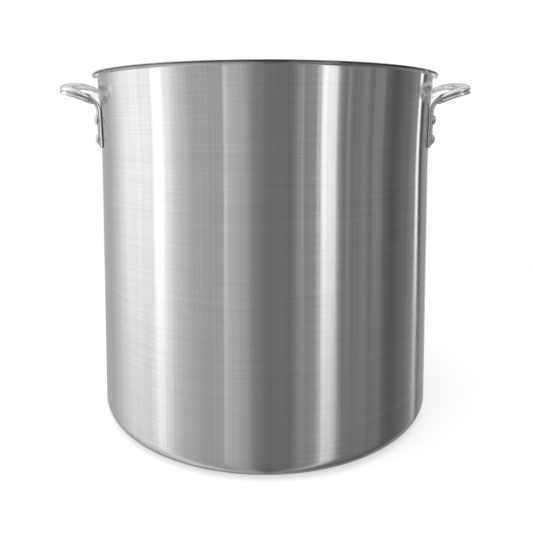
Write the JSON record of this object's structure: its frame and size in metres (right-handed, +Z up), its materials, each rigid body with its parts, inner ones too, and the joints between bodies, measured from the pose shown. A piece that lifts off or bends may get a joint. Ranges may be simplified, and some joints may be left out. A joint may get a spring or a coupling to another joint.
{
  "type": "stock pot",
  "caption": "Tall open round pot with a flat base, flared top, outward rim bead and cast loop handles riveted to both sides.",
  "frame": {"origin": "centre of the underside of the base, on the surface that the pot stands on", "axes": "+Z up along the pot's axis, +X towards the right-hand handle, -Y towards the viewer"},
  "size_m": [0.5432, 0.4818, 0.46],
  "materials": {
    "spun_aluminium": "fine brushed satin, brush lines running round the wall",
    "cast_aluminium": "polished casting with soft edges",
    "rivet_aluminium": "smooth satin"
  },
  "bodies": {
    "root": {"pot_body": "spun_aluminium", "handle_left": "cast_aluminium", "handle_right": "cast_aluminium", "rivet_left_front_lower": "rivet_aluminium", "rivet_left_front_upper": "rivet_aluminium", "rivet_left_rear_lower": "rivet_aluminium", "rivet_left_rear_upper": "rivet_aluminium", "rivet_right_front_lower": "rivet_aluminium", "rivet_right_front_upper": "rivet_aluminium", "rivet_right_rear_lower": "rivet_aluminium", "rivet_right_rear_upper": "rivet_aluminium"}
  },
  "joints": []
}
